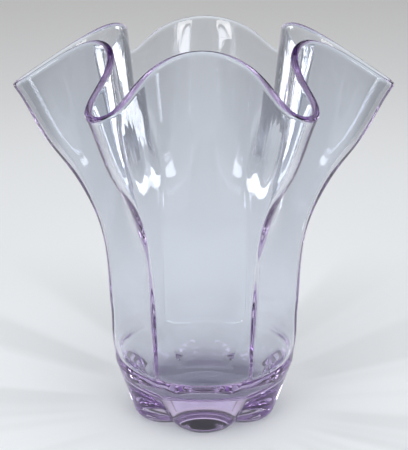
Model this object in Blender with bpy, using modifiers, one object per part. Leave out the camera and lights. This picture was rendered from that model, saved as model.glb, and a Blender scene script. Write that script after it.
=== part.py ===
"""Crimped glass vase, blown in one piece, modelled in metres with +Z up.

The vase stands on a solid six-lobed foot. Above the foot the body is a soft
hexagon with flat panels, and towards the rim its six corners are drawn out
and down into pleats, while the panels between them rise as humps.

The body starts as a turned blank: a plain tumbler whose closed wall section
runs from the middle of the floor over the rim to the middle of the
underside. Each point of the blank has an angle, a level above the table and
a depth below the outer skin, and the crimping moves it to its real place.
"""

import math

import bpy
import numpy as np

# Overall form. The origin is at the middle of the flat underside.
NODE_NAME = "vase"
VASE_HEIGHT = 0.240          # table to the top of a hump
PLEATS = 6                   # pleats, panels and foot lobes

# Panel line: outer radius at the middle of a panel, from the foot up
FOOT_RADIUS = 0.0462         # middle of a lobe, at the table
SHOULDER_HEIGHT = 0.036      # top of the tapered foot
SHOULDER_RADIUS = 0.0570
SHOULDER_ROUND = 0.0010      # how far the bend at the shoulder is eased
LEDGE_HEIGHT = 0.042         # where the shoulder has run into the panels
LEDGE_RADIUS = 0.0540
BODY_HEIGHT = 0.066          # level of the flattest panels
BODY_RADIUS = 0.0519         # across the flats of the body, as a radius
NECK_HEIGHT = 0.126          # level at which the pleats spring
NECK_RADIUS = 0.0570
HUMP_RADIUS = 0.0676         # top of a hump, at the rim

# Corner line: outer radius at the corners, which become the pleat tips
GROOVE_RADIUS = 0.0370       # bottom of the groove between lobes, at the table
GROOVE_END_HEIGHT = 0.036    # where the groove has run out
GROOVE_END_RADIUS = 0.0564
CORNER_RADIUS = 0.0588       # corner of the hexagonal body
SPRING_RADIUS = 0.0657       # corner at the level where the pleats spring
KNEE_HEIGHT = 0.153          # level at which a pleat turns outwards
KNEE_RADIUS = 0.0777
LEAN_HEIGHT = 0.180          # level part way up the leaning pleat
LEAN_RADIUS = 0.0930
PLEAT_RADIUS = 0.1130        # tip of a pleat, at the rim
PLEAT_DROP = 0.0304          # how far a tip hangs below the humps

# Rounding of the corners seen from above
CREASE_ROUND = 0.0030        # foot
CORNER_ROUND = 0.0080        # where the pleats spring
CORNER_POWER = 5.0           # sharpness that gives a corner its named rounding

# Sideways swing of the glass towards the pleats, as angles in radians
CORNER_SWING = 0.110         # first wave, along the body
PLEAT_SWING = 0.1158         # first wave, at the rim
PLEAT_FLARE = 0.0484         # second wave, at the rim

# Glass thickness
RIM_WALL = 0.0042            # fire-polished rim, with a full round edge
BODY_WALL = 0.0042           # just above the floor
FLOOR_HEIGHT = 0.0220        # solid glass below the inside
FLOOR_ROUND = 0.0200         # inner corner between floor and wall
TOE_ROUND = 0.0060           # outer edge of the underside

# Mesh fineness
STEPS_PER_PLEAT = 14
FOOT_ROWS = 7
LEDGE_ROWS = 3
BODY_ROWS = 7
PLEAT_ROWS = 12
INNER_ROWS = 16
FLOOR_ARC_ROWS = 7
LIP_ARC_ROWS = 6
TOE_ARC_ROWS = 4
MERGE_DISTANCE = 0.00001
PROBE = 0.00006              # short way along the skin that shows its direction

# Look of the glass
GLASS_COLOUR = (0.80, 0.78, 0.90, 1.0)
GLASS_ROUGHNESS = 0.02
GLASS_IOR = 1.5

TURN = 2.0 * math.pi
RIM_LEVEL = VASE_HEIGHT - RIM_WALL / 2.0


def ease(start, end, level):
    """Rises smoothly from 0 at one level to 1 at another."""
    share = np.clip((level - start) / (end - start), 0.0, 1.0)
    return share * share * (3.0 - 2.0 * share)


def smooth_line(level, points):
    """Radius at a level on a smooth line through (level, radius) points."""
    levels, radii = np.array(points).T
    slopes = np.diff(radii) / np.diff(levels)
    gaps = np.diff(levels)
    inner = (slopes[:-1] * gaps[1:] + slopes[1:] * gaps[:-1]) / (gaps[:-1] + gaps[1:])
    tangents = np.concatenate([slopes[:1], inner, slopes[-1:]])
    index = np.clip(np.searchsorted(levels, level, side="right") - 1, 0, len(gaps) - 1)
    gap = gaps[index]
    share = np.clip((level - levels[index]) / gap, 0.0, 1.0)
    rest = 1.0 - share
    start = radii[index] * (1.0 + 2.0 * share) + gap * share * tangents[index]
    end = radii[index + 1] * (3.0 - 2.0 * share) - gap * rest * tangents[index + 1]
    return start * rest * rest + end * share * share


def panel_radius(level):
    """Outer radius at the middle of a panel or lobe."""
    taper = FOOT_RADIUS + (SHOULDER_RADIUS - FOOT_RADIUS) * level / SHOULDER_HEIGHT
    panel = smooth_line(level, [
        (LEDGE_HEIGHT, LEDGE_RADIUS),
        (BODY_HEIGHT, BODY_RADIUS),
        (NECK_HEIGHT, NECK_RADIUS),
        (RIM_LEVEL, HUMP_RADIUS),
    ])
    body = SHOULDER_RADIUS + (panel - SHOULDER_RADIUS) * ease(SHOULDER_HEIGHT, LEDGE_HEIGHT, level)
    mix = np.clip(0.5 + 0.5 * (body - taper) / SHOULDER_ROUND, 0.0, 1.0)
    return body + (taper - body) * mix - SHOULDER_ROUND * mix * (1.0 - mix)


def corner_radius(level):
    """Outer radius in the groove, at the corner and at the pleat tip."""
    return smooth_line(level, [
        (0.0, GROOVE_RADIUS),
        (GROOVE_END_HEIGHT, GROOVE_END_RADIUS),
        (BODY_HEIGHT, CORNER_RADIUS),
        (NECK_HEIGHT, SPRING_RADIUS),
        (KNEE_HEIGHT, KNEE_RADIUS),
        (LEAN_HEIGHT, LEAN_RADIUS),
        (RIM_LEVEL, PLEAT_RADIUS),
    ])


def hexagon_share(angle, rounding):
    """Share of the way from flat to corner on a polygon with eased corners."""
    half = math.pi / PLEATS
    power = CORNER_POWER * BODY_RADIUS / rounding

    def reach(direction):
        near = np.cos(half - direction) ** power
        far = np.cos(half + direction) ** power
        return (near + far) ** (-1.0 / power)

    flat = reach(np.full_like(angle, half))
    corner = reach(np.zeros_like(angle))
    return (reach(np.abs(angle)) - flat) / (corner - flat)


def skin(angle, level):
    """Points of the outer skin, for angles from a corner and levels."""
    wave = PLEATS * angle
    pleat = ease(NECK_HEIGHT, LEAN_HEIGHT, level)
    first = CORNER_SWING + (PLEAT_SWING - CORNER_SWING) * pleat
    turned = angle - first * np.sin(wave) + PLEAT_FLARE * pleat * np.sin(2.0 * wave)
    crest = 0.5 + 0.5 * np.cos(wave)

    corner = np.round(turned * PLEATS / TURN)
    opening = ease(GROOVE_END_HEIGHT, NECK_HEIGHT, level)
    rounding = CREASE_ROUND + (CORNER_ROUND - CREASE_ROUND) * opening
    flats = hexagon_share(turned - corner * TURN / PLEATS, rounding)
    share = flats + (crest - flats) * pleat

    panel = panel_radius(level)
    radius = panel + (corner_radius(level) - panel) * share
    fall = np.clip((level - NECK_HEIGHT) / (RIM_LEVEL - NECK_HEIGHT), 0.0, 1.0) ** 2
    height = level - PLEAT_DROP * fall * crest
    return np.stack([radius * np.cos(turned), radius * np.sin(turned), height], axis=-1)


def unit(vectors):
    """Vectors scaled to length one."""
    return vectors / np.linalg.norm(vectors, axis=-1, keepdims=True)


def wall_thickness(level):
    """Glass thickness, thinning from the floor to the rim."""
    return BODY_WALL + (RIM_WALL - BODY_WALL) * ease(FLOOR_HEIGHT, RIM_LEVEL, level)


def crimp(blank_points):
    """Moves points of the turned blank to their places on the vase."""
    distance = np.hypot(blank_points[:, 0], blank_points[:, 1])
    angle = np.arctan2(blank_points[:, 1], blank_points[:, 0])
    level = np.minimum(blank_points[:, 2], RIM_LEVEL)
    above_rim = blank_points[:, 2] - level
    depth = FOOT_RADIUS - distance

    lower = np.clip(level - PROBE, 0.0, RIM_LEVEL)
    upper = np.clip(level + PROBE, 0.0, RIM_LEVEL)
    outside = skin(angle, level)
    around = skin(angle + PROBE, level) - skin(angle - PROBE, level)
    upward = unit(skin(angle, upper) - skin(angle, lower))
    outward = np.cross(around, upward)

    # The solid base stays level, so depth is measured level there
    outward[:, 2] *= ease(FLOOR_HEIGHT, BODY_HEIGHT, level)
    outward = unit(outward)

    wall = wall_thickness(level)
    in_wall = np.minimum(depth, wall)[:, None]
    placed = outside - outward * in_wall + upward * above_rim[:, None]
    inner_radius = FOOT_RADIUS - wall
    share = np.clip((depth - wall) / inner_radius, 0.0, 1.0)
    placed[:, :2] *= (1.0 - share)[:, None]
    return placed


def arc(centre, radius, start, end, rows):
    """Points along an arc of the section, with both of its ends."""
    angles = np.radians(np.linspace(start, end, rows + 1))
    return [(centre[0] + radius * math.cos(a), centre[1] + radius * math.sin(a)) for a in angles]


def outer_levels():
    """Levels of the outer wall from the rim down to the toe."""
    pleats = np.linspace(RIM_LEVEL, NECK_HEIGHT, PLEAT_ROWS + 1)
    body = np.linspace(NECK_HEIGHT, LEDGE_HEIGHT, BODY_ROWS + 1)
    ledge = np.linspace(LEDGE_HEIGHT, SHOULDER_HEIGHT, LEDGE_ROWS + 1)
    foot = np.linspace(SHOULDER_HEIGHT, TOE_ROUND, FOOT_ROWS + 1)
    return np.concatenate([pleats[1:], body[1:], ledge[1:], foot[1:-1]])


def blank_section():
    """Closed wall section of the blank, floor to rim to underside."""
    outer = FOOT_RADIUS
    floor_top = FLOOR_HEIGHT + FLOOR_ROUND
    corner_in = outer - wall_thickness(floor_top) - FLOOR_ROUND
    lip_in = outer - RIM_WALL / 2.0

    points = [(0.0, FLOOR_HEIGHT), (corner_in / 2.0, FLOOR_HEIGHT)]
    points += arc((corner_in, floor_top), FLOOR_ROUND, -90.0, 0.0, FLOOR_ARC_ROWS)
    inner = np.linspace(floor_top, RIM_LEVEL, INNER_ROWS + 1)[1:-1]
    points += [(outer - wall_thickness(level), level) for level in inner]
    points += arc((lip_in, RIM_LEVEL), RIM_WALL / 2.0, 180.0, 0.0, LIP_ARC_ROWS)
    points += [(outer, level) for level in outer_levels()]
    points += arc((outer - TOE_ROUND, TOE_ROUND), TOE_ROUND, 0.0, -90.0, TOE_ARC_ROWS)
    points += [(outer / 2.0, 0.0), (0.0, 0.0)]
    return points


def glass_material():
    """Pale lavender clear glass."""
    material = bpy.data.materials.new("lavender_glass")
    material.use_nodes = True
    shader = material.node_tree.nodes["Principled BSDF"]
    shader.inputs["Base Color"].default_value = GLASS_COLOUR
    shader.inputs["Roughness"].default_value = GLASS_ROUGHNESS
    shader.inputs["Metallic"].default_value = 0.0
    shader.inputs["IOR"].default_value = GLASS_IOR
    shader.inputs["Transmission Weight"].default_value = 1.0
    return material


def turned_blank(collection):
    """Object with the blank's section and the Screw that turns it."""
    section = blank_section()
    mesh = bpy.data.meshes.new("blank_section")
    vertices = [(x, 0.0, z) for x, z in section]
    edges = [(i, i + 1) for i in range(len(section) - 1)]
    mesh.from_pydata(vertices, edges, [])
    blank = bpy.data.objects.new("blank", mesh)
    collection.objects.link(blank)
    screw = blank.modifiers.new("turn", "SCREW")
    screw.axis = "Z"
    screw.angle = TURN
    screw.steps = PLEATS * STEPS_PER_PLEAT
    screw.render_steps = screw.steps
    screw.use_merge_vertices = True
    screw.merge_threshold = MERGE_DISTANCE
    return blank


def build_vase():
    """Turns the blank, crimps it and leaves the finished vase."""
    collection = bpy.data.collections.new("crimped_vase")
    bpy.context.scene.collection.children.link(collection)
    blank = turned_blank(collection)

    depsgraph = bpy.context.evaluated_depsgraph_get()
    mesh = bpy.data.meshes.new_from_object(blank.evaluated_get(depsgraph))
    mesh.name = NODE_NAME
    bpy.data.objects.remove(blank, do_unlink=True)

    points = np.empty(len(mesh.vertices) * 3)
    mesh.vertices.foreach_get("co", points)
    mesh.vertices.foreach_set("co", crimp(points.reshape(-1, 3)).ravel())
    mesh.shade_smooth()
    mesh.update()

    vase = bpy.data.objects.new(NODE_NAME, mesh)
    vase.data.materials.append(glass_material())
    collection.objects.link(vase)
    return vase


for old in list(bpy.data.objects):
    bpy.data.objects.remove(old, do_unlink=True)

build_vase()
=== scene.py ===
"""Crimped lavender glass vase on a pale floor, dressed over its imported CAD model.

The vase is one piece of blown glass: a solid six-lobed foot, a soft
hexagonal body and six drawn-out pleats at the rim. Its fine mesh repeats the
shape of the CAD solid from the same sizes, and the glass is clear with a
lavender tint that deepens with the thickness. All sizes are in metres.
"""

from __future__ import annotations

import logging
import math
from dataclasses import dataclass, field
from typing import Any

import bpy
import numpy as np
from mathutils import Matrix, Vector

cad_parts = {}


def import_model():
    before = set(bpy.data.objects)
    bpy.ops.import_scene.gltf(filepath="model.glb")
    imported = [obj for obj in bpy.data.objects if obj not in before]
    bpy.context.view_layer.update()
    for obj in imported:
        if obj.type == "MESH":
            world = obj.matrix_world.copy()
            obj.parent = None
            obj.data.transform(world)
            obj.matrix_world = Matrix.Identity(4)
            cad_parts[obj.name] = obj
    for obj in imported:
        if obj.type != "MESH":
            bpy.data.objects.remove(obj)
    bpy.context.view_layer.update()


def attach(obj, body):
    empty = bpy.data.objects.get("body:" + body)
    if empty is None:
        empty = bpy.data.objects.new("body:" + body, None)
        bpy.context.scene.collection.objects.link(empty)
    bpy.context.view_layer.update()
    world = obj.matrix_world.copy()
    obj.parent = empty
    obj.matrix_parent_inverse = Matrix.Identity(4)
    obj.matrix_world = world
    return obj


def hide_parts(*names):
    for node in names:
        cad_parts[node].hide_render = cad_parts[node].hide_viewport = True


LOG = logging.getLogger("crimped_vase")
TURN = 2.0 * math.pi
LEVEL_PITCH = 90.0                                   # turn that points a camera level, in degrees
INWARD, OUTWARD, DOWNWARD = 180.0, 0.0, -90.0        # directions in the section, in degrees
BLACK = (0.0, 0.0, 0.0, 1.0)
WHITE = (1.0, 1.0, 1.0, 1.0)
MIX_SHARE, MIX_FIRST, MIX_SECOND, MIX_RESULT = 0, 6, 7, 2     # a Mix node's colour sockets
Number = float | int
Points = np.ndarray


def ease(start: float, end: float, value: Points) -> Points:
    """Raise smoothly from 0 at one value to 1 at another.

    Args:
        start: Value at which the rise begins.
        end: Value at which it is complete.
        value: Values to look up.

    Returns:
        Share of the rise, from 0 to 1.
    """
    share = np.clip((value - start) / (end - start), 0.0, 1.0)
    return share * share * (3.0 - 2.0 * share)


def smooth_line(level: Points, points: list[tuple[float, float]]) -> Points:
    """Read radii from a smooth line through given points.

    Args:
        level: Heights to look up.
        points: Pairs of height and radius, from low to high.

    Returns:
        Radius at each height.
    """
    levels, radii = np.array(points).T
    gaps = np.diff(levels)
    slopes = np.diff(radii) / gaps
    inner = (slopes[:-1] * gaps[1:] + slopes[1:] * gaps[:-1]) / (gaps[:-1] + gaps[1:])
    tangents = np.concatenate([slopes[:1], inner, slopes[-1:]])
    index = np.clip(np.searchsorted(levels, level, side="right") - 1, 0, len(gaps) - 1)
    gap = gaps[index]
    share = np.clip((level - levels[index]) / gap, 0.0, 1.0)
    rest = 1.0 - share
    start = radii[index] * (1.0 + 2.0 * share) + gap * share * tangents[index]
    end = radii[index + 1] * (3.0 - 2.0 * share) - gap * rest * tangents[index + 1]
    return start * rest * rest + end * share * share


def unit(vectors: Points) -> Points:
    """Scale vectors to length one."""
    return vectors / np.linalg.norm(vectors, axis=-1, keepdims=True)


class Signal:
    """A node's output socket, with operators that add Math nodes."""

    def __init__(self, bench: Bench, socket: bpy.types.NodeSocket) -> None:
        """Keep the bench that the socket's node stands on."""
        self.bench = bench
        self.socket = socket

    def math(self, operation: str, *values: Signal | Number) -> Signal:
        """Add a Math node.

        Args:
            operation: Name of the Math node's operation.
            values: The node's values in order, this signal among them.

        Returns:
            The node's result.
        """
        return self.bench.node("ShaderNodeMath", {"operation": operation}, dict(enumerate(values)))

    def __add__(self, other: Signal | Number) -> Signal:
        """Add a value."""
        return self.math("ADD", self, other)

    __radd__ = __add__

    def __sub__(self, other: Signal | Number) -> Signal:
        """Take a value away."""
        return self.math("SUBTRACT", self, other)

    def __rsub__(self, other: Signal | Number) -> Signal:
        """Take this signal away from a value."""
        return self.math("SUBTRACT", other, self)

    def __mul__(self, other: Signal | Number) -> Signal:
        """Multiply by a value."""
        return self.math("MULTIPLY", self, other)

    __rmul__ = __mul__

    def __truediv__(self, other: Signal | Number) -> Signal:
        """Divide by a value."""
        return self.math("DIVIDE", self, other)

    def __rtruediv__(self, other: Signal | Number) -> Signal:
        """Divide a value by this signal."""
        return self.math("DIVIDE", other, self)

    def __abs__(self) -> Signal:
        """Take the size without the sign."""
        return self.math("ABSOLUTE", self)

    def at_most(self, limit: float) -> Signal:
        """Keep the signal from passing a limit."""
        return self.math("MINIMUM", self, limit)

    def rise(self, start: float, end: float) -> Signal:
        """Rise smoothly between two values.

        Args:
            start: Value that gives 0.
            end: Value that gives 1.

        Returns:
            The eased share.
        """
        settings = {"interpolation_type": "SMOOTHSTEP"}
        return self.bench.node("ShaderNodeMapRange", settings,
                               {"Value": self, "From Min": start, "From Max": end})


class Bench:
    """Adds the nodes of one material or world."""

    def __init__(self, owner: bpy.types.Material | bpy.types.World) -> None:
        """Clear the owner's nodes and keep its node tree."""
        owner.use_nodes = True
        self.tree = owner.node_tree
        self.tree.nodes.clear()

    def node(self, kind: str, settings: dict[str, Any] | None = None,
             inputs: dict[str | int, Any] | None = None, output: str | int = 0) -> Signal:
        """Add a node of any type.

        Args:
            kind: Node type.
            settings: The node's own settings, set first.
            inputs: Values or signals for its sockets, by name or number.
            output: Name or number of the output that is wanted.

        Returns:
            The wanted output, or the node's first input where it has none.
        """
        made = self.tree.nodes.new(kind)
        for name, value in (settings or {}).items():
            if name == "stops":
                self._set_stops(made.color_ramp, value)
            else:
                setattr(made, name, value)
        for name, value in (inputs or {}).items():
            if isinstance(value, Signal):
                self.tree.links.new(value.socket, made.inputs[name])
            else:
                made.inputs[name].default_value = value
        return Signal(self, made.outputs[output] if made.outputs else made.inputs[0])

    @staticmethod
    def _set_stops(ramp: bpy.types.ColorRamp, stops: list[tuple[float, tuple]]) -> None:
        """Lay the stops of a colour ramp.

        Args:
            ramp: The ramp.
            stops: Pairs of position and colour, from low to high.
        """
        while len(ramp.elements) < len(stops):
            ramp.elements.new(1.0)
        for element, (position, colour) in zip(ramp.elements, stops):
            element.position = position
            element.color = colour


@dataclass
class VaseForm:
    """Outer skin and wall of the vase, for any angle and level."""

    height: float = 0.240                 # to the top of a hump
    pleats: int = 6
    foot_radius: float = 0.0462           # middle of a lobe, at the table
    shoulder_height: float = 0.036        # top of the tapered foot
    shoulder_radius: float = 0.0570
    shoulder_round: float = 0.0010        # how far the bend at the shoulder is eased
    ledge_height: float = 0.042           # where the shoulder has run into the panels
    ledge_radius: float = 0.0540
    body_height: float = 0.066            # narrowest part of the panels
    body_radius: float = 0.0519
    neck_height: float = 0.126            # where the pleats spring
    neck_radius: float = 0.0570
    hump_radius: float = 0.0676           # top of a hump
    groove_radius: float = 0.0370         # groove between lobes, at the table
    groove_end_height: float = 0.036
    groove_end_radius: float = 0.0564
    corner_radius: float = 0.0588         # body corner, at the body height
    spring_radius: float = 0.0657         # body corner, at the neck
    knee_height: float = 0.153            # the pleat's edge bends outwards
    knee_radius: float = 0.0777
    lean_height: float = 0.180            # the pleat is full from here
    lean_radius: float = 0.0930
    pleat_radius: float = 0.11285         # pleat tip, so that the fine mesh stays in the CAD box
    pleat_drop: float = 0.0304            # how much lower a tip is than a hump
    crease_round: float = 0.0030          # corners of foot and lower body
    corner_round: float = 0.0080          # corners where the pleats spring
    corner_swing: float = 0.110           # turn of the blank towards a corner, in radians
    pleat_swing: float = 0.1158           # the same in a full pleat
    pleat_flare: float = 0.0484           # opens the pleat's tip again, in radians
    rim_wall: float = 0.0042              # fire-polished rim, with a full round edge
    body_wall: float = 0.0042             # just above the floor
    floor_height: float = 0.0220          # solid glass below the inside
    floor_round: float = 0.0200           # inner corner between floor and wall
    toe_round: float = 0.0060             # outer edge of the underside
    corner_power: float = 5.0             # sharpness that gives a corner its named rounding
    probe: float = 0.00006                # short way along the skin that shows its direction

    @property
    def rim_level(self) -> float:
        """Level of the middle of the rounded rim on a hump."""
        return self.height - self.rim_wall / 2.0

    def panel_line(self, level: Points) -> Points:
        """Find the outer radius at the middle of a panel or lobe.

        Args:
            level: Heights on the unpleated blank.

        Returns:
            Radius at each height.
        """
        widening = (self.shoulder_radius - self.foot_radius) / self.shoulder_height
        taper = self.foot_radius + widening * level
        panel = smooth_line(level, [
            (self.ledge_height, self.ledge_radius),
            (self.body_height, self.body_radius),
            (self.neck_height, self.neck_radius),
            (self.rim_level, self.hump_radius),
        ])
        step = ease(self.shoulder_height, self.ledge_height, level)
        body = self.shoulder_radius + (panel - self.shoulder_radius) * step
        mix = np.clip(0.5 + 0.5 * (body - taper) / self.shoulder_round, 0.0, 1.0)
        return body + (taper - body) * mix - self.shoulder_round * mix * (1.0 - mix)

    def corner_line(self, level: Points) -> Points:
        """Find the outer radius in a groove, at a corner and at a pleat tip.

        Args:
            level: Heights on the unpleated blank.

        Returns:
            Radius at each height.
        """
        return smooth_line(level, [
            (0.0, self.groove_radius),
            (self.groove_end_height, self.groove_end_radius),
            (self.body_height, self.corner_radius),
            (self.neck_height, self.spring_radius),
            (self.knee_height, self.knee_radius),
            (self.lean_height, self.lean_radius),
            (self.rim_level, self.pleat_radius),
        ])

    def hexagon_share(self, angle: Points, rounding: Points) -> Points:
        """Find the share of the way from flat to corner.

        Args:
            angle: Angle from the nearest corner.
            rounding: Radius that the corners are eased to.

        Returns:
            0 at the middle of a flat and 1 at a corner.
        """
        half = math.pi / self.pleats
        power = self.corner_power * self.body_radius / rounding

        def reach(direction: Points) -> Points:
            """Find how far the eased polygon reaches in a direction."""
            near = np.cos(half - direction) ** power
            far = np.cos(half + direction) ** power
            return (near + far) ** (-1.0 / power)

        flat = reach(np.full_like(angle, half))
        corner = reach(np.zeros_like(angle))
        return (reach(np.abs(angle)) - flat) / (corner - flat)

    def skin(self, angle: Points, level: Points) -> Points:
        """Find points of the outer skin.

        Args:
            angle: Angles from a corner, on the blank.
            level: Heights on the blank.

        Returns:
            Points as an array whose last axis is x, y, z.
        """
        wave = self.pleats * angle
        pleat = ease(self.neck_height, self.lean_height, level)
        first = self.corner_swing + (self.pleat_swing - self.corner_swing) * pleat
        second = self.pleat_flare * pleat
        turned = angle - first * np.sin(wave) + second * np.sin(2.0 * wave)
        crest = 0.5 + 0.5 * np.cos(wave)

        corner = np.round(turned * self.pleats / TURN) * TURN / self.pleats
        opening = ease(self.groove_end_height, self.neck_height, level)
        rounding = self.crease_round + (self.corner_round - self.crease_round) * opening
        flats = self.hexagon_share(turned - corner, rounding)
        share = flats + (crest - flats) * pleat

        panel = self.panel_line(level)
        radius = panel + (self.corner_line(level) - panel) * share
        rise = np.clip((level - self.neck_height) / (self.rim_level - self.neck_height), 0.0, 1.0)
        height = level - self.pleat_drop * rise * rise * crest
        return np.stack([radius * np.cos(turned), radius * np.sin(turned), height], axis=-1)

    def wall(self, level: Points) -> Points:
        """Find the glass thickness, which thins from the floor to the rim.

        Args:
            level: Heights on the blank.

        Returns:
            Thickness at each height.
        """
        thinning = ease(self.floor_height, self.rim_level, level)
        return self.body_wall + (self.rim_wall - self.body_wall) * thinning

    def place(self, angle: Points, height: Points, depth: Points) -> Points:
        """Move points of the blank to their places on the vase.

        Args:
            angle: Angles of the points on the blank.
            height: Their heights, which may pass the rim level on the lip.
            depth: How far they lie under the outer skin.

        Returns:
            Points as an array whose last axis is x, y, z.
        """
        level = np.minimum(height, self.rim_level)
        above_rim = height - level
        lower = np.clip(level - self.probe, 0.0, self.rim_level)
        upper = np.clip(level + self.probe, 0.0, self.rim_level)
        outside = self.skin(angle, level)
        around = self.skin(angle + self.probe, level) - self.skin(angle - self.probe, level)
        upward = unit(self.skin(angle, upper) - self.skin(angle, lower))
        outward = np.cross(around, upward)
        # The foot's skin moves level, and the wall above it moves square to the skin.
        outward[..., 2] *= ease(self.floor_height, self.body_height, level)
        outward = unit(outward)

        wall = self.wall(level)
        in_wall = np.minimum(depth, wall)[..., None]
        placed = outside - outward * in_wall + upward * above_rim[..., None]
        share = np.clip((depth - wall) / (self.foot_radius - wall), 0.0, 1.0)
        placed[..., :2] *= (1.0 - share)[..., None]
        return placed


@dataclass(frozen=True)
class LavenderGlass:
    """Clear glass whose lavender tint deepens with its thickness."""

    name: str = "lavender_glass"
    ior: float = 1.5
    roughness: float = 0.0
    tint: tuple[float, float, float, float] = (0.56, 0.27, 0.75, 1.0)
    tint_density: float = 7.0
    skin_colour: tuple[float, float, float, float] = (0.865, 0.897, 0.928, 1.0)
    transmission: float = 1.0
    wave_scale: float = 34.0
    wave_detail: float = 1.0
    wave_height: float = 0.0002
    wave_strength: float = 1.0

    def material(self) -> bpy.types.Material:
        """Make the glass material.

        Returns:
            Material with a glass surface and an absorbing volume.
        """
        material = bpy.data.materials.new(self.name)
        bench = Bench(material)
        place = bench.node("ShaderNodeTexCoord", output="Object")
        waves = bench.node("ShaderNodeTexNoise", {}, {
            "Vector": place, "Scale": self.wave_scale, "Detail": self.wave_detail}, "Fac")
        bump = bench.node("ShaderNodeBump", {}, {
            "Strength": self.wave_strength, "Distance": self.wave_height, "Height": waves})
        surface = bench.node("ShaderNodeBsdfPrincipled", {}, {
            "Base Color": self.skin_colour,
            "Roughness": self.roughness,
            "IOR": self.ior,
            "Transmission Weight": self.transmission,
            "Normal": bump,
        })
        volume = bench.node("ShaderNodeVolumeAbsorption", {}, {
            "Color": self.tint, "Density": self.tint_density})
        bench.node("ShaderNodeOutputMaterial", {}, {"Surface": surface, "Volume": volume})
        return material


@dataclass
class GlassVase:
    """The vase as one closed fine mesh."""

    form: VaseForm = field(default_factory=VaseForm)
    finish: LavenderGlass = field(default_factory=LavenderGlass)
    steps_per_pleat: int = 44
    pleat_rows: int = 60
    body_rows: int = 30
    foot_rows: int = 22
    inner_rows: int = 84
    arc_rows: int = 14
    floor_rows: int = 8

    def _arc(self, centre: tuple[float, float], radius: float,
             start: float, end: float) -> list[tuple[float, float]]:
        """Lay points along an arc of the section.

        Args:
            centre: Distance from the axis and height of the arc's centre.
            radius: Radius of the arc.
            start: Angle of its first point, in degrees.
            end: Angle of its last point, in degrees.

        Returns:
            Points as distance and height.
        """
        angles = np.radians(np.linspace(start, end, self.arc_rows + 1))
        return [(centre[0] + radius * math.cos(a), centre[1] + radius * math.sin(a))
                for a in angles]

    def section(self) -> list[tuple[float, float]]:
        """Lay out the blank's section without its two ends on the axis.

        Returns:
            Points as distance and height, from the inside floor over the rim
            to the underside.
        """
        form = self.form
        outer = form.foot_radius
        floor_top = form.floor_height + form.floor_round
        corner = outer - float(form.wall(np.array(floor_top))) - form.floor_round
        lip = outer - form.rim_wall / 2.0
        floor = np.linspace(0.0, corner, self.floor_rows + 1)[1:-1]
        inner = np.linspace(floor_top, form.rim_level, self.inner_rows + 1)[1:-1]
        pleat = np.linspace(form.rim_level, form.neck_height, self.pleat_rows + 1)[1:]
        body = np.linspace(form.neck_height, form.groove_end_height, self.body_rows + 1)[1:]
        foot = np.linspace(form.groove_end_height, form.toe_round, self.foot_rows + 1)[1:-1]
        under = np.linspace(outer - form.toe_round, 0.0, self.floor_rows + 1)[1:-1]

        points = [(r, form.floor_height) for r in floor]
        points += self._arc((corner, floor_top), form.floor_round, DOWNWARD, OUTWARD)
        points += [(outer - float(form.wall(np.array(z))), z) for z in inner]
        points += self._arc((lip, form.rim_level), form.rim_wall / 2.0, INWARD, OUTWARD)
        points += [(outer, z) for z in np.concatenate([pleat, body, foot])]
        points += self._arc((outer - form.toe_round, form.toe_round), form.toe_round,
                            OUTWARD, DOWNWARD)
        points += [(r, 0.0) for r in under]
        return points

    def mesh(self) -> bpy.types.Mesh:
        """Build the closed mesh.

        Returns:
            Smooth mesh with its faces outwards.
        """
        section = np.array(self.section())
        columns = self.form.pleats * self.steps_per_pleat
        rows = len(section)
        angles = np.arange(columns) * TURN / columns
        angle, distance = np.meshgrid(angles, section[:, 0], indexing="xy")
        height = np.repeat(section[:, 1][:, None], columns, axis=1)
        grid = self.form.place(angle, height, self.form.foot_radius - distance)
        poles = np.array([[0.0, 0.0, self.form.floor_height], [0.0, 0.0, 0.0]])
        points = np.concatenate([grid.reshape(-1, 3), poles])
        floor_pole, under_pole = len(points) - 2, len(points) - 1

        faces: list[tuple[int, ...]] = []
        for row in range(rows - 1):
            for column in range(columns):
                beside = (column + 1) % columns
                faces.append((row * columns + column, row * columns + beside,
                              (row + 1) * columns + beside, (row + 1) * columns + column))
        last = (rows - 1) * columns
        for column in range(columns):
            beside = (column + 1) % columns
            faces.append((floor_pole, beside, column))
            faces.append((under_pole, last + column, last + beside))

        mesh = bpy.data.meshes.new("vase_glass")
        mesh.from_pydata(points.tolist(), [], faces)
        mesh.flip_normals()
        mesh.shade_smooth()
        mesh.update()
        return mesh

    def build(self) -> bpy.types.Object:
        """Build and dress the vase, standing for its CAD node.

        Returns:
            The vase's object.
        """
        vase = bpy.data.objects.new("vase_glass", self.mesh())
        bpy.context.scene.collection.objects.link(vase)
        vase.data.materials.append(self.finish.material())
        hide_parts("vase")
        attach(vase, "root")
        return vase


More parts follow.
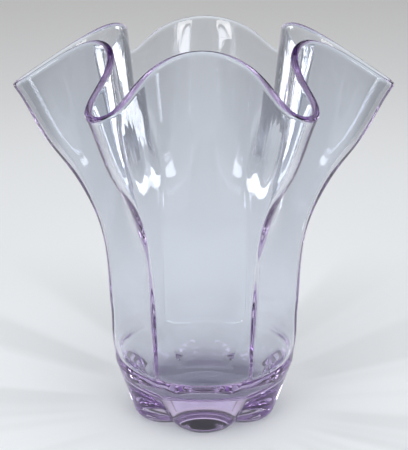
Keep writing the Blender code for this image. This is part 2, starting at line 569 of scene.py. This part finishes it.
@dataclass(frozen=True)
class FloorFinish:
    """Matt white floor with painted light: lighter near the vase, where it lifts the vase's own
    shadow, and greyer with distance.

    Each stop is a share of the reach, a grey and how much of the coolness it
    gets. The side shade is seen in and through the glass, not by the camera.
    """

    name: str = "pale_floor"
    roughness: float = 0.9
    specular: float = 0.0
    reach: float = 2.0
    # Painted light: floor greys, lightest near the vase against its own shadow, with a cool tint
    # near the vase.
    stops: tuple[tuple[float, float, float], ...] = (
        (0.09, 0.90, 1.0), (0.15, 0.88, 1.0), (0.50, 0.84, 0.5), (1.0, 0.82, 0.0))
    coolness: float = 0.03
    # Painted shadow streaks around the foot.
    shadow_streak_scale: float = 2.6
    shadow_streak_detail: float = 2.0
    shadow_streak_depth: float = 0.10
    shadow_streak_start: float = 0.45
    shadow_streak_full: float = 0.62
    shadow_streak_edges: tuple[float, float, float, float] = (0.06, 0.10, 0.16, 0.36)
    side_start: float = 0.15
    side_end: float = 0.35
    side_shade: float = 0.45

    def painted_shadow_streaks(self, bench: Bench, place: Signal, distance: Signal) -> Signal:
        """Paint faint shadow streaks around the foot, painted shade that stands in for what light
        through the glass leaves there.

        Args:
            bench: Bench of the floor's material.
            place: Place on the floor.
            distance: Its distance from the vase's axis.

        Returns:
            How much the painted shadow darkens the floor.
        """
        start, full, fading, end = self.shadow_streak_edges
        ray = bench.node("ShaderNodeVectorMath", {"operation": "NORMALIZE"}, {0: place})
        noise = bench.node("ShaderNodeTexNoise", {}, {
            "Vector": ray, "Scale": self.shadow_streak_scale, "Detail": self.shadow_streak_detail}, "Fac")
        reach = distance.rise(start, full) * (1.0 - distance.rise(fading, end))
        return noise.rise(self.shadow_streak_start, self.shadow_streak_full) * reach * self.shadow_streak_depth

    def material(self) -> bpy.types.Material:
        """Make the floor material.

        Returns:
            Matt material.
        """
        material = bpy.data.materials.new(self.name)
        bench = Bench(material)
        place = bench.node("ShaderNodeNewGeometry", output="Position")
        distance = bench.node("ShaderNodeVectorMath", {"operation": "LENGTH"}, {0: place}, "Value")
        # Painted light: the ramp lightens the floor near the vase, against the vase's own shadow,
        # and greys it with distance.
        stops = [(position, (grey * (1.0 - self.coolness * cool), grey,
                             grey * (1.0 + self.coolness * cool), 1.0))
                 for position, grey, cool in self.stops]
        colour = bench.node("ShaderNodeValToRGB", {"stops": stops}, {"Fac": distance / self.reach})
        across = bench.node("ShaderNodeSeparateXYZ", {}, {0: place}, "X")
        through = 1.0 - bench.node("ShaderNodeLightPath", output="Is Camera Ray")
        shade = abs(across).rise(self.side_start, self.side_end) * through * self.side_shade
        # Painted shadow streaks darken the floor around the foot.
        shade = shade + self.painted_shadow_streaks(bench, place, distance)
        colour = bench.node("ShaderNodeMix", {"data_type": "RGBA"}, {
            MIX_SHARE: shade, MIX_FIRST: colour, MIX_SECOND: BLACK}, MIX_RESULT)
        surface = bench.node("ShaderNodeBsdfPrincipled", {}, {
            "Base Color": colour, "Roughness": self.roughness,
            "Specular IOR Level": self.specular})
        bench.node("ShaderNodeOutputMaterial", {}, {"Surface": surface})
        return material


@dataclass(frozen=True)
class StudioAir:
    """What surrounds the floor.

    Matt surfaces get one even light. Glass sees a dark studio over a bright
    horizon that is shaded at the sides. The camera sees a plain backdrop.
    """

    light: float = 0.55
    horizon: float = 0.80
    dark: float = 0.05
    glow_start: float = 0.05
    glow_end: float = 0.25
    side_start: float = 0.25
    side_end: float = 0.50
    side_shade: float = 0.75
    backdrop: float = 0.55

    def apply(self) -> None:
        """Dress the scene's world."""
        world = bpy.data.worlds.new("studio_air")
        bpy.context.scene.world = world
        bench = Bench(world)
        scattered = bench.node("ShaderNodeLightPath", output="Diffuse Depth").at_most(1.0)
        direction = bench.node("ShaderNodeTexCoord", output="Generated")
        height = bench.node("ShaderNodeSeparateXYZ", {}, {0: direction}, "Z")
        across = abs(bench.node("ShaderNodeSeparateXYZ", {}, {0: direction}, "X"))
        glow = 1.0 - height.rise(self.glow_start, self.glow_end)
        open_side = 1.0 - self.side_shade * across.rise(self.side_start, self.side_end)
        grey = self.dark + (self.horizon - self.dark) * glow * open_side
        strength = grey + scattered * (self.light - grey)
        seen = bench.node("ShaderNodeLightPath", output="Is Camera Ray")
        strength = strength + seen * (self.backdrop - strength)
        surface = bench.node("ShaderNodeBackground", {}, {
            "Color": WHITE, "Strength": strength})
        bench.node("ShaderNodeOutputWorld", {}, {"Surface": surface})


@dataclass(frozen=True)
class Softbox:
    """A square-edged soft lamp, turned to the vase, that gloss and glass can see.

    Azimuth is counted to the right from the front and elevation up from the
    aim, both in degrees.
    """

    name: str
    azimuth: float
    elevation: float
    distance: float
    width: float
    height: float
    watts: float
    aim: tuple[float, float, float] = (0.0, 0.0, 0.15)

    def place(self) -> Vector:
        """Find where the lamp hangs.

        Returns:
            Its place in the studio.
        """
        turn, lift = math.radians(self.azimuth), math.radians(self.elevation)
        level = self.distance * math.cos(lift)
        away = Vector((level * math.sin(turn), -level * math.cos(turn),
                       self.distance * math.sin(lift)))
        return Vector(self.aim) + away

    def build(self) -> bpy.types.Object:
        """Hang the lamp.

        Returns:
            The lamp's object.
        """
        lamp = bpy.data.lights.new(self.name, "AREA")
        lamp.shape = "RECTANGLE"
        lamp.size = self.width
        lamp.size_y = self.height
        lamp.energy = self.watts
        made = bpy.data.objects.new(self.name, lamp)
        made.location = self.place()
        beam = Vector(self.aim) - self.place()
        made.rotation_euler = beam.to_track_quat("-Z", "Y").to_euler()
        made.visible_camera = False
        bpy.context.scene.collection.objects.link(made)
        return made


@dataclass
class Studio:
    """Floor, lamps, surroundings and camera."""

    floor_radius: float = 3.0
    floor_sides: int = 96
    floor_drop: float = 0.0002            # keeps the floor just clear of the underside
    camera_place: tuple[float, float, float] = (0.0071, -0.7271, 0.3542)
    camera_heading: float = 0.56          # heading, pitch and roll in degrees
    camera_pitch: float = 17.796
    camera_roll: float = -0.192
    camera_lens: float = 99.0             # lens and film in millimetres
    film_side: float = 36.0
    light_bounces: int = 40
    lamps: tuple[Softbox, ...] = (
        Softbox("softbox_top", azimuth=0.0, elevation=88.0, distance=1.2,
                width=1.6, height=1.6, watts=8.0),
        Softbox("softbox_back_left", azimuth=-130.0, elevation=-5.0, distance=0.9,
                width=0.15, height=0.16, watts=0.65),
        Softbox("softbox_back_right", azimuth=132.0, elevation=-5.0, distance=0.9,
                width=0.14, height=0.14, watts=0.55),
        Softbox("softbox_front_left", azimuth=-36.0, elevation=12.5, distance=1.0,
                width=0.50, height=0.24, watts=2.8),
        Softbox("softbox_front_right", azimuth=34.0, elevation=12.5, distance=1.0,
                width=0.48, height=0.24, watts=2.6),
    )

    def floor(self) -> bpy.types.Object:
        """Lay the round floor.

        Returns:
            The floor's object.
        """
        angles = np.arange(self.floor_sides) * TURN / self.floor_sides
        rim = [(self.floor_radius * math.cos(a), self.floor_radius * math.sin(a), 0.0)
               for a in angles]
        mesh = bpy.data.meshes.new("floor")
        mesh.from_pydata(rim, [], [tuple(range(self.floor_sides))])
        floor = bpy.data.objects.new("floor", mesh)
        floor.location.z = -self.floor_drop
        floor.data.materials.append(FloorFinish().material())
        bpy.context.scene.collection.objects.link(floor)
        return floor

    def camera(self) -> bpy.types.Object:
        """Set up the camera at the photograph's viewing angle.

        Returns:
            The camera's object.
        """
        lens = bpy.data.cameras.new("camera")
        lens.lens = self.camera_lens
        lens.sensor_width = self.film_side
        camera = bpy.data.objects.new("camera", lens)
        heading = Matrix.Rotation(math.radians(self.camera_heading), 4, "Z")
        pitch = Matrix.Rotation(math.radians(LEVEL_PITCH - self.camera_pitch), 4, "X")
        roll = Matrix.Rotation(math.radians(self.camera_roll), 4, "Z")
        camera.matrix_world = Matrix.Translation(self.camera_place) @ heading @ pitch @ roll
        bpy.context.scene.collection.objects.link(camera)
        bpy.context.scene.camera = camera
        return camera

    def build(self) -> list[bpy.types.Object]:
        """Build the whole studio, with light that reaches through thick glass.

        Returns:
            Floor, lamps and camera.
        """
        paths = bpy.context.scene.cycles
        paths.max_bounces = self.light_bounces
        paths.transmission_bounces = self.light_bounces
        paths.glossy_bounces = self.light_bounces
        StudioAir().apply()
        return [self.floor(), self.camera(), *(lamp.build() for lamp in self.lamps)]


def main() -> None:
    """Build the studio and the vase, and log what was built."""
    logging.basicConfig(level=logging.INFO, format="%(name)s: %(message)s")
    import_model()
    bpy.context.scene.view_settings.view_transform = "Standard"
    for item in Studio().build():
        LOG.info("studio %s", item.name)
    vase = GlassVase().build()
    LOG.info("piece %s, %d faces", vase.name, len(vase.data.polygons))


if __name__ == "__main__":
    main()
